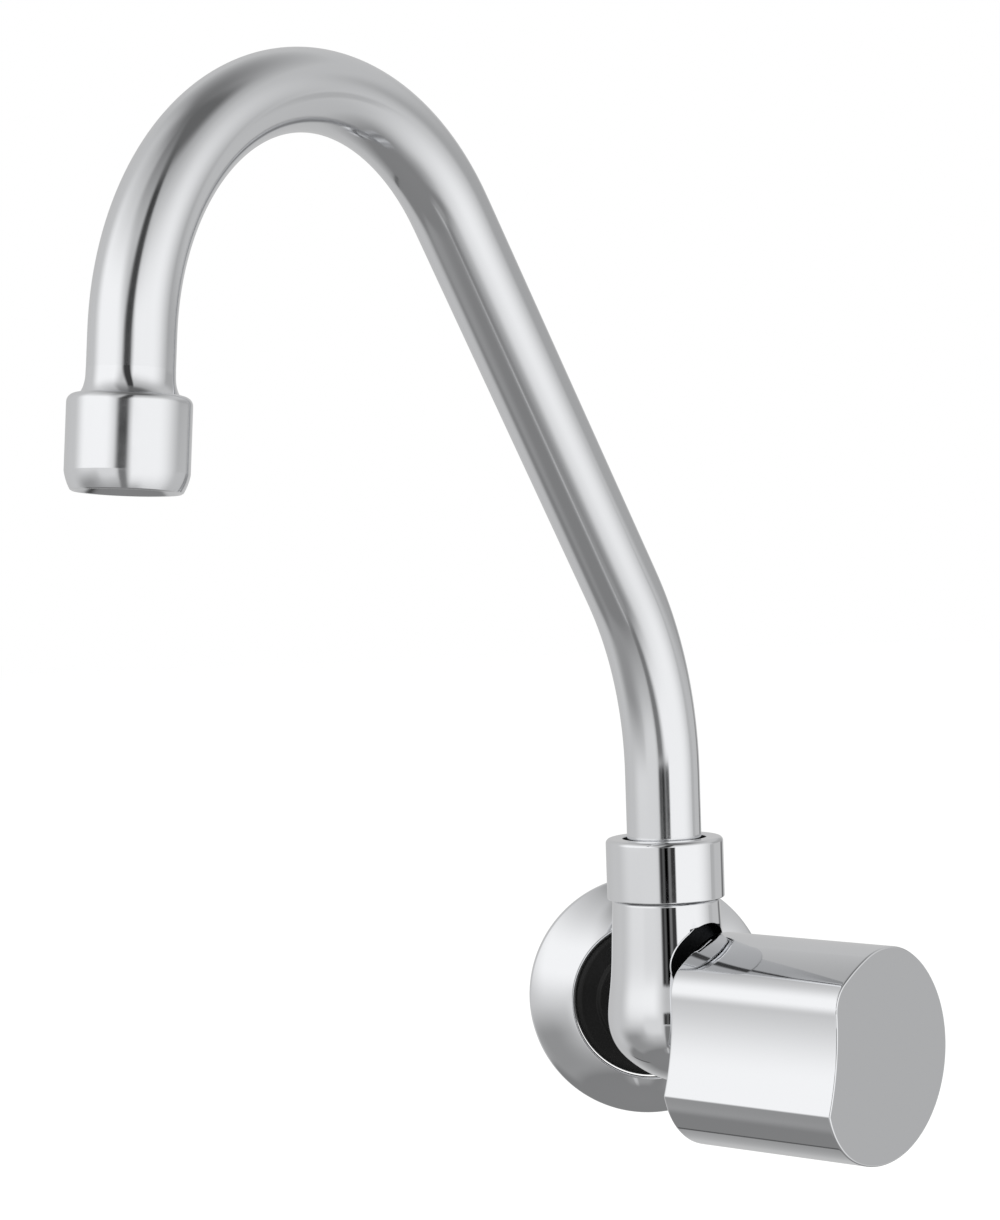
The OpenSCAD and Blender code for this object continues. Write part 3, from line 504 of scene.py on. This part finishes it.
# Radius and height down the barrel, which swells towards the heel, then round the heel to its
# lowest point. The run is evened out, as a polishing wheel leaves it.
side = [(13.7, SEAM), (13.95, 28), (14.2, 22), (14.4, 17.5), (14.75, 13), (15.25, 9.6), (15.65, 6.6),
        (15.85, 3.9)]
heel = arc((2.05, 3.75), 13.8, 0, -44, 16) + arc((-6.6, 12.17), 25.7, -44.5, -75, 12) + [(0, -12.7)]
barrel_side = evenly(settled(evenly(side + heel[1:], step=0.4), rounds=60), step=0.45)
barrel_side[-1] = (0, barrel_side[-1][1])
broken_edge = [(12.9, SEAM), (13.45, SEAM - 0.05), (13.68, SEAM - 0.3)]
barrel_outline = [(0, SEAM)] + broken_edge + barrel_side[1:]
barrel = closed_mesh(turned_mesh("barrel", barrel_outline, on_body_axis, 256))
neck_r, neck_end, neck_root_r, neck_root, neck_shoulder, leg_r = 12.3, 24, 6.4, 1, 11, 11
neck_outline = [(0, neck_root), (neck_root_r, neck_root), (neck_r, neck_shoulder), (neck_r, neck_end),
                (0, neck_end)]
neck = closed_mesh(turned_mesh("neck", neck_outline, on_valve_axis, 128))

# The relief faces the barrel flat for the whole knob; the pocket goes deeper, above the neck.
relief_r, relief_at, pocket_r, pocket_at, pocket_up, outside = 28.4, 12.6, 10.6, 9.6, 18.2, 70
on_pocket = on_valve_axis @ Matrix.Translation((0, pocket_up, 0))

# The edge of the pocket is broken by hand, which leaves a thin round line along it.
edge_line = bpy.data.curves.new("pocket_edge", "CURVE")
edge_line.dimensions, edge_line.bevel_depth, edge_line.bevel_resolution = "3D", 0.2, 2
edge_from, edge_to, edge_step = 86, 262, 4
radii, heights = zip(*reversed(barrel_side))
edge_points = []
for turn in np.radians(np.arange(edge_from, edge_to, edge_step)):
    aside, height = pocket_r * math.cos(turn), pocket_up + pocket_r * math.sin(turn)
    here_r = float(np.interp(height, heights, radii))
    out = math.sqrt(max(here_r ** 2 - aside ** 2, 0))
    if out > pocket_at:
        edge_points.append(on_valve_axis @ Vector((aside, height, min(out, relief_at))))
edge_run = edge_line.splines.new("POLY")
edge_run.points.add(len(edge_points) - 1)
for point, spot in zip(edge_run.points, edge_points):
    point.co = (*spot, 1)
edge_line.use_fill_caps = True
edge_object = bpy.data.objects.new("pocket_edge", edge_line)
edge_mesh = closed_mesh(bpy.data.meshes.new_from_object(edge_object))
bpy.data.objects.remove(edge_object)
thread_crest, thread_root, thread_pitch, thread_end, groove_r = 10.45, 9.35, 1.814, -15, 9.3
bore_r, seat_r, seat_at, chamber_r = 5.5, 7.52, -10, 9.6
body_mesh = joined("body", barrel, [
    ("DIFFERENCE", rod("relief", relief_r, relief_at, outside, on_valve_axis, 256)),
    ("DIFFERENCE", rod("pocket", pocket_r, pocket_at, outside, on_pocket, 256)),
    ("UNION", edge_mesh),
    ("UNION", neck),
    ("UNION", rod("leg", leg_r, 2, WALL_TO_AXIS - 4, on_inlet_axis)),
    ("UNION", rod("thread_relief", groove_r, -2, 3, on_inlet_axis, 96)),
    ("UNION", pipe_thread(thread_crest, thread_root, thread_pitch, thread_end, -0.1, on_inlet_axis)),
    ("DIFFERENCE", rod("inlet_bore", bore_r, thread_end - 1, WALL_TO_AXIS - 8, on_inlet_axis, 64)),
    ("DIFFERENCE", rod("strainer_seat", seat_r, thread_end - 1, seat_at, on_inlet_axis, 96)),
    ("DIFFERENCE", rod("chamber", chamber_r, neck_root, 30, on_valve_axis, 96)),
])
body = as_piece("cast_body", body_mesh, chrome, "base", 30)

# The polishing wheel doesn't reach into the pocket, the nut or the knob, so the plating over the rough
# metal there stays dull, with no clear reflection in it. Its colour is also painted nearly black:
# painted shade for these recesses and gaps.
dull_plating_painted_shade = plain_finish("rough_plating_painted_dark_for_shade", "1E1F21", "35373A", 0.5, 0.1, 0.4, 0.03, 1.0)
to_valve, to_pocket = on_valve_axis.inverted(), on_pocket.inverted()


def in_pocket(spot, normal):
    """Whether a face is on the flat floors or round walls that were cut round the neck."""
    at, by = to_valve @ spot, to_pocket @ spot
    along = abs(normal.dot(to_valve.to_3x3().inverted() @ Vector((0, 0, 1))))
    on_floor = along > 0.999 and min(abs(at.z - pocket_at), abs(at.z - relief_at)) < 0.05
    on_wall = along < 0.01 and min(abs(by.xy.length - pocket_r), abs(at.xy.length - relief_r)) < 0.06
    return at.z > pocket_at - 0.1 and (on_floor or on_wall)


# The pocket's floors and walls take the dull plating, painted nearly black as shade.
finish_inside(body, dull_plating_painted_shade, in_pocket)
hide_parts("faucet_body")

# ---- swivel nut ----------------------------------------------------------------------------
# Plain round collar, turned from brass bar and chromed. It screws on the body's thread and its
# lid holds the spout down; the spout turns in the hole of the lid.

NUT_TOP = 49.9
tube_r = 9.47
nut_r, nut_bore_r, nut_foot, lid_hole_r, lid_under = 14.95, 13.1, SEAM + 0.3, tube_r + 1.2, NUT_TOP - 2
nut_outline = rounded([
    (nut_bore_r, nut_foot, 0.2), (nut_r, nut_foot, 0.35), (nut_r, NUT_TOP, 1.2),
    (lid_hole_r, NUT_TOP, 0.3), (lid_hole_r, lid_under, 0.1), (nut_bore_r, lid_under, 0.2)])
nut = as_piece("swivel_collar", turned_mesh("swivel_collar", nut_outline, on_body_axis), chrome,
               "base")
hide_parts("swivel_nut")


def in_nut(spot, normal):
    """Whether a face looks towards the nut's axis, below the rounded edge of its hole."""
    return spot.z < NUT_TOP - 0.35 and (spot - on_body_axis.translation).xy.dot(normal.xy) < 0


# The nut's bore round the spout takes the dull plating, painted nearly black as shade.
finish_inside(nut, dull_plating_painted_shade, in_nut)

# ---- spout tube ----------------------------------------------------------------------------
# Drawn brass tube, 19 mm, bent cold round two formers and chromed. The belt that polished it ran
# along the tube, so its gloss is softer than the cast body's and its faint lines follow the bend.

REST_ANGLE, LEAN, TILT = -40, 35.2, 6
RISER, LOWER_R, LEG, ARCH_R, DROP = 16.5, 83, 112, 60.7, 13.4
on_spout = (Matrix.Translation((0, -WALL_TO_AXIS, NUT_TOP))
            @ Matrix.Rotation(math.radians(REST_ANGLE - 90), 4, "Z"))
lean, tilt = math.radians(LEAN), math.radians(TILT)


def tube_path(step=0.9, softened=5.0):
    """Centre line of the tube in its own plane: x, z, heading from upright and length so far, one
    point each step. The bends ease in and out over a few millimetres, as a former leaves them."""
    fine, start = 0.1, -3.6
    turn = np.concatenate([np.zeros(round((RISER - start) / fine)),
                           np.full(round(LOWER_R * lean / fine), 1 / LOWER_R),
                           np.zeros(round(LEG / fine)),
                           np.full(round(ARCH_R * (math.pi - lean - tilt) / fine), 1 / ARCH_R),
                           np.zeros(round(DROP / fine))])
    window = np.hanning(round(softened * 2 / fine) + 2)[1:-1]
    turn = np.convolve(turn, window / window.sum(), "same")
    wanted = math.pi - tilt
    heading = np.cumsum(turn) * fine
    heading *= wanted / heading[-1]
    x, z = np.cumsum(np.sin(heading)) * fine, start + np.cumsum(np.cos(heading)) * fine
    keep = np.arange(0, len(x), round(step / fine))
    keep = np.append(keep, len(x) - 1) if keep[-1] != len(x) - 1 else keep
    return x[keep], z[keep], heading[keep], keep * fine


def drawn_chrome():
    """Chrome over belt-polished tube: fine lines along the tube, drawn about twice as coarse as they
    are so that they show, and patches where the belt bit a little less. They blur its reflections
    more across the tube than along it."""
    line_mm, drawn_out, patch_mm = 0.7, 0.03, 14
    made = bpy.data.materials.new("belt_polished_chrome")
    made.use_nodes = True
    tree = made.node_tree
    tree.nodes.clear()
    along = add_node(tree, "ShaderNodeAttribute", attribute_name="drawn").outputs["Vector"]
    stretch = add_node(tree, "ShaderNodeMapping", {"Vector": along, "Scale": (drawn_out, 1, 1)})
    lines = add_node(tree, "ShaderNodeTexNoise", {
        "Vector": stretch.outputs[0], "Scale": 1 / line_mm, "Detail": 3.0, "Roughness": 0.65})
    patch = add_node(tree, "ShaderNodeTexNoise", {"Vector": along, "Scale": 1 / patch_mm, "Detail": 2.0})
    soft = add_node(tree, "ShaderNodeMath", {
        0: lines.outputs[0], 1: 0.07, 2: 0.055}, operation="MULTIPLY_ADD")
    cloud = add_node(tree, "ShaderNodeMath", {
        0: patch.outputs[0], 1: 0.06, 2: soft.outputs[0]}, operation="MULTIPLY_ADD")
    bump = add_node(tree, "ShaderNodeBump", {
        "Strength": 0.3, "Distance": 0.01 * MM, "Height": lines.outputs[0]})
    metal = add_node(tree, "ShaderNodeBsdfPrincipled", {
        "Base Color": from_hex("EBECEE"), "Metallic": 1.0, "Roughness": cloud.outputs[0],
        "Normal": bump.outputs[0]})
    add_node(tree, "ShaderNodeOutputMaterial", {"Surface": metal.outputs[0]})
    return made


path_x, path_z, path_heading, path_length = tube_path()
tube_sides, tube_bore_r = 144, 8.5
points, marks, faces = [], [], []
rings = [(i, tube_r) for i in range(len(path_x))]
rings += [(i, tube_bore_r) for i in reversed(range(len(path_x)))]
for i, radius in rings:
    out_x, out_z = math.cos(path_heading[i]), -math.sin(path_heading[i])
    for k in range(tube_sides):
        swing = 2 * math.pi * k / tube_sides
        across, sideways = radius * math.cos(swing), radius * math.sin(swing)
        points.append(on_spout @ Vector((
            path_x[i] + across * out_x, sideways, path_z[i] + across * out_z)))
        marks.append((path_length[i], across, sideways))
for a in range(len(rings)):
    b = (a + 1) % len(rings)
    for k in range(tube_sides):
        n = (k + 1) % tube_sides
        faces.append((a * tube_sides + k, a * tube_sides + n, b * tube_sides + n, b * tube_sides + k))
tube_mesh = bpy.data.meshes.new("gooseneck_tube")
tube_mesh.from_pydata(points, [], faces)
drawn = tube_mesh.attributes.new("drawn", "FLOAT_VECTOR", "POINT")
drawn.data.foreach_set("vector", np.array(marks).ravel())
gooseneck = as_piece("gooseneck_tube", tube_mesh, drawn_chrome(), "spout")
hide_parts("spout_tube")

# ---- outlet adapter ------------------------------------------------------------------------
# Turned brass end, brazed on the tube and polished over with it: a smooth flare that runs out of
# the tube, and the thread for the aerator below it.

outlet_x, outlet_z = float(path_x[-1]), float(path_z[-1])
on_outlet = on_spout @ Matrix.Translation((outlet_x, 0, outlet_z)) @ Matrix.Rotation(-tilt, 4, "Y")
flare_h, flare_out, flare_edge, overlap, thread_r, thread_long = 5.4, 1.2, 0.03, 0.02, 10.3, 8
flare = [(tube_r + flare_edge + (flare_out - flare_edge) * (1 - up) ** 3, flare_h * up)
         for up in np.linspace(0, 1, 17)]
adapter_outline = flare + [
    (tube_r - overlap, flare_h), (tube_r - overlap, 0), (tube_bore_r, 0),
    (tube_bore_r, -thread_long), (thread_r, -thread_long), (thread_r, 0)]
adapter_mesh = turned_mesh("outlet_flare", finely(adapter_outline), on_outlet)
adapter = as_piece("outlet_flare", adapter_mesh, chrome, "spout")
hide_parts("outlet_adapter")

# ---- aerator housing -----------------------------------------------------------------------
# Turned and chromed brass sleeve that screws on the adapter: rounded shoulder, plain side that a
# hose end can grip, lower end rounded in to the mouth from a low corner.


def polar(radius, angle):
    """The point at a radius and an angle in degrees."""
    return Vector((radius * math.cos(math.radians(angle)), radius * math.sin(math.radians(angle))))


aerator_r, aerator_h, aerator_bore_r, shoulder_round, ledge_h = 13.35, 20.6, 10.55, 1.9, 1.8
mouth_r, mouth_edge_r, rim_in_r, rim_h = 9.4, 11.05, 11.25, 0.02
foot_h, foot_low, foot_in, foot_corner = 4.2, 0.3, 1.35, 9.5
foot_sweep = 2 * math.degrees(math.atan2(foot_in, foot_h - foot_low)) - foot_corner
foot_r = (foot_h - foot_low) / (math.sin(math.radians(foot_sweep)) - math.sin(math.radians(foot_corner)))
foot_at = Vector((aerator_r, foot_h)) - polar(foot_r, -foot_corner)
housing_outline = (
    [(mouth_r, 1.5), (mouth_edge_r, rim_h + 0.1), (rim_in_r, rim_h), (aerator_r - foot_in - 0.45, rim_h)]
    + arc(foot_at, foot_r, -foot_sweep, -foot_corner, 14)
    + arc((aerator_r - shoulder_round, aerator_h - shoulder_round), shoulder_round, 0, 84, 14)
    + [(aerator_bore_r, aerator_h - 0.12), (aerator_bore_r, ledge_h), (mouth_r, ledge_h)])
housing_mesh = turned_mesh("aerator_sleeve", finely(housing_outline),
                           on_outlet @ Matrix.Translation((0, 0, -aerator_h)))

# The sleeve is polished less than the cast pieces, so its reflections have soft edges.
soft_chrome = polished_chrome("satin_chrome_plating", 0.11, 0.16)
housing = as_piece("aerator_sleeve", housing_mesh, soft_chrome, "spout", 8)
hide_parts("aerator_housing")

# ---- knob ----------------------------------------------------------------------------------
# Die-cast zinc, polished and chromed: a hollow cap, round on the right, with a deep finger scallop
# on the left and a flatter shoulder above it. Inside, a hub takes the splined sleeve of the spindle
# in a hexagon, and a boss takes the set screw.

KNOB_R, KNOB_BACK, KNOB_FRONT, KNOB_WALL = 27, 15, 66.6, 2.4
scallop_r, scallop_deep, scallop_way = 62, 9, 173
shoulder_r, shoulder_deep, shoulder_from = 53, 3.3, 304
easing_r, easing_way = 19, 250
scallop_at = polar(KNOB_R - scallop_deep + scallop_r, scallop_way)
shoulder_at = polar(shoulder_r - KNOB_R + shoulder_deep, shoulder_from)
easing_at = polar(KNOB_R - easing_r, easing_way)


def knob_section(crown, fillet, corner):
    """Points and outward normals round the knob's section, from the radii of its three roundings:
    crown to shoulder, shoulder to scallop, scallop to easing. All its arcs are tangent."""
    def angle(v):
        return math.degrees(math.atan2(v.y, v.x))

    middle = Vector((0, 0))
    crown_at = circles_meet(middle, KNOB_R - crown, shoulder_at, shoulder_r - crown, polar(10, 80))
    fillet_at = circles_meet(
        shoulder_at, shoulder_r - fillet, scallop_at, scallop_r + fillet, polar(22, 145))
    corner_at = circles_meet(
        scallop_at, scallop_r + corner, easing_at, easing_r - corner, polar(22, 215))
    runs = [
        (middle, KNOB_R, easing_way - 360, angle(crown_at), 150, 1),
        (crown_at, crown, angle(crown_at), angle(crown_at - shoulder_at), 24, 1),
        (shoulder_at, shoulder_r, angle(crown_at - shoulder_at), angle(fillet_at - shoulder_at), 50, 1),
        (fillet_at, fillet, angle(fillet_at - shoulder_at), angle(scallop_at - fillet_at), 20, 1),
        (scallop_at, scallop_r, angle(fillet_at - scallop_at), angle(corner_at - scallop_at), 60, -1),
        (corner_at, corner, angle(scallop_at - corner_at), angle(corner_at - easing_at), 12, 1),
        (easing_at, easing_r, angle(corner_at - easing_at), easing_way, 40, 1)]
    spots, normals = [], []
    for centre, radius, start, end, count, outward in runs:
        while outward > 0 and end < start:
            end += 360
        while outward > 0 and end - start > 360:
            end -= 360
        while outward < 0 and end > start:
            end -= 360
        for k in range(count):
            way = polar(1, start + (end - start) * k / count)
            spots.append(centre + way * radius)
            normals.append(way * outward)
    return spots, normals


def knob_ring(section, inset, height):
    """The section drawn in by inset, at a height along the knob's axis."""
    return [(p.x - n.x * inset, p.y - n.y * inset, height) for p, n in zip(*section)]


crown_r, fillet_r, corner_r, edge = 20, 8.5, 1, 0.45
outer = knob_section(crown_r, fillet_r, corner_r)
inner = knob_section(crown_r, fillet_r + KNOB_WALL, corner_r + KNOB_WALL)
hollow_step, skin_margin, skin_rings = 20, 0.8, 42
turns = [math.radians(a) for a in np.linspace(0, 90, 6)]
rings = [knob_ring(inner, inset, height) for inset, height in (
    (KNOB_WALL, KNOB_FRONT - KNOB_WALL), (KNOB_WALL, KNOB_BACK + hollow_step),
    (KNOB_WALL, KNOB_BACK + edge), (KNOB_WALL - edge, KNOB_BACK))]
rings += [knob_ring(outer, edge * (1 - math.sin(t)), KNOB_BACK + edge * (1 - math.cos(t)))
          for t in turns]
rings += [knob_ring(outer, 0, h)
          for h in np.linspace(KNOB_BACK + skin_margin, KNOB_FRONT - skin_margin, skin_rings)]
rings += [knob_ring(outer, edge * (1 - math.cos(t)), KNOB_FRONT - edge * (1 - math.sin(t)))
          for t in turns]
shell = lofted("knob_shell", rings, on_valve_axis)
HUB_R, HUB_BACK, HEXAGON_R, HEXAGON_DEEP = 9.5, 38.8, 6.95, 11
SCREW_AT, SCREW_R, BOSS_R, BOSS_TOP = 44.3, 2.52, 4.2, KNOB_R - 1.2
across = on_valve_axis @ Matrix.Translation((0, 0, SCREW_AT)) @ Matrix.Rotation(math.pi / 2, 4, "X")
knob_mesh = joined("knob", shell, [
    ("UNION", rod("hub", HUB_R, HUB_BACK, KNOB_FRONT - 1, on_valve_axis, 96)),
    ("UNION", rod("boss", BOSS_R, 0, BOSS_TOP, across, 64)),
    ("DIFFERENCE", rod("pocket", HEXAGON_R, HUB_BACK - 1, HUB_BACK + HEXAGON_DEEP, on_valve_axis, 6)),
    ("DIFFERENCE", rod("screw_hole", SCREW_R, 0, KNOB_R + 4, across, 48)),
])
knob = as_piece("scalloped_knob", knob_mesh, chrome, "valve", 30)
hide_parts("knob")
skin = np.array(outer[0])


def in_cap(spot, normal):
    """Whether a face is in the hollow: half the wall or more in from the skin, short of both ends."""
    at = to_valve @ spot
    deep = np.hypot(skin[:, 0] - at.x, skin[:, 1] - at.y).min() > KNOB_WALL / 2
    return deep and KNOB_BACK + 0.3 < at.z < KNOB_FRONT - 1


# The knob's hollow takes the dull plating, painted nearly black as shade.
finish_inside(knob, dull_plating_painted_shade, in_cap)

# ---- inner pieces --------------------------------------------------------------------------
# The pieces inside keep the form that they have in the frame: turned brass, stainless steel, dark
# acetal, rubber, the aerator's white cage and the ceramic discs. They show through the gaps and
# from behind. The grain of each finish is drawn a few times coarser than it is, to show.

# Brass from the lathe, unplated: warm yellow, with a broad soft shine.
turned_brass = plain_finish("turned_brass", "B89A55", "D9BE7C", 0.3, 0.08, 0.4, 0.02, 1.0)
# Stainless steel, machined fine: a cool grey shine, a little sharper than the brass.
stainless = plain_finish("fine_machined_stainless", "B9BCBF", "D0D2D4", 0.28, 0.08, 0.3, 0.01, 1.0)
# Acetal, moulded in dark grey: waxy, with a dull and even sheen.
acetal = plain_finish("moulded_dark_acetal", "2E2E31", "3A3A3D", 0.45, 0.08, 0.6, 0.01)
# Plastic, moulded in off-white: pale, with a soft gloss.
white_cage = plain_finish("moulded_white_plastic", "DCDBD6", "ECEBE7", 0.35, 0.06, 0.8, 0.01)
# Alumina, lapped flat: warm white, and the glossiest of these.
ceramic = plain_finish("lapped_white_alumina", "EDEAE2", "F5F3EE", 0.14, 0.04, 0.5, 0.002)
for finish, names in (
        (turned_brass, "cartridge_housing cartridge_spindle spout_ferrule"),
        (stainless, "disc_sleeve thrust_washer spindle_clip knob_set_screw aerator_screens"),
        (acetal, "inlet_strainer glide_ring knob_insert"),
        (white_cage, "aerator_insert"),
        (ceramic, "fixed_disc moving_disc"),
        (black_rubber, "cartridge_oring seat_seal spindle_orings spout_orings aerator_washer")):
    for name in names.split():
        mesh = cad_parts[name].data
        mesh.materials.clear()
        mesh.materials.append(finish)
